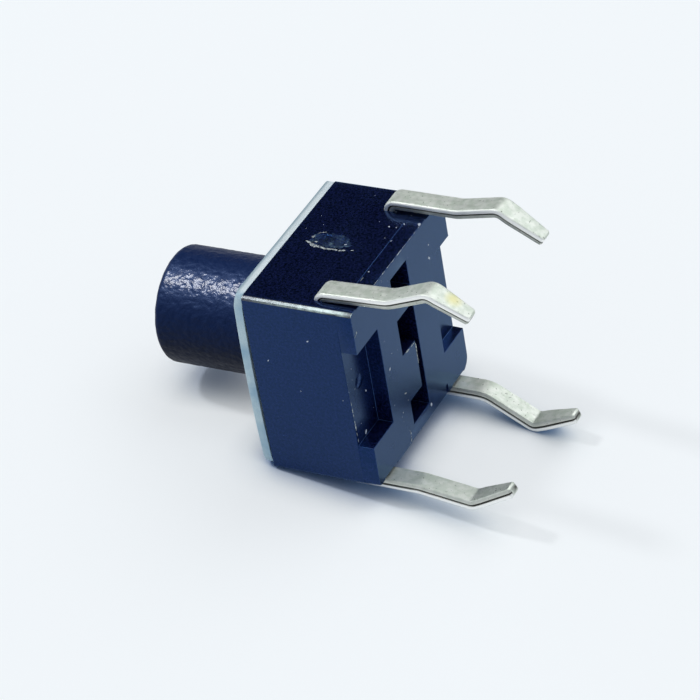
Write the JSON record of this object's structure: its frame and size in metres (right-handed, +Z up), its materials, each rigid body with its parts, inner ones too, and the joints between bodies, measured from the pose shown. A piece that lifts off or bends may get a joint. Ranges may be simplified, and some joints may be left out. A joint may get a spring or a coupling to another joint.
{
  "type": "tactile push-button switch",
  "caption": "Small square through-hole push-button switch lying on its side: black moulded body, metal cover plate, round black button and bent tinned legs for a circuit board.",
  "frame": {"origin": "on the floor below the middle of the switch's box, as it lies at rest", "axes": "+Z up from the floor, -X the way the button points (dipped by the rest tilt), -Y the plain side of the body that faces the viewer"},
  "size_m": [0.012, 0.006, 0.0078],
  "materials": {
    "housing_plastic": "satin moulded, black",
    "cover_steel": "stamped sheet, satin",
    "button_plastic": "spark-textured moulding, black",
    "dome_steel": "rolled spring sheet",
    "tinned_brass": "bright tin plating with bare sheared edges"
  },
  "bodies": {
    "base": {"housing": "housing_plastic", "cover_plate": "cover_steel", "snap_dome": "dome_steel", "terminal_near": "tinned_brass", "terminal_far": "tinned_brass"},
    "button": {"button": "button_plastic"}
  },
  "joints": [
    {"name": "button_press", "type": "slide", "parent": "base", "child": "button", "axis": [0.9818, 0, 0.19], "range_m": [0, 0.00025], "stiffness_N_per_m": 6000, "deforming": ["snap_dome"]}
  ]
}
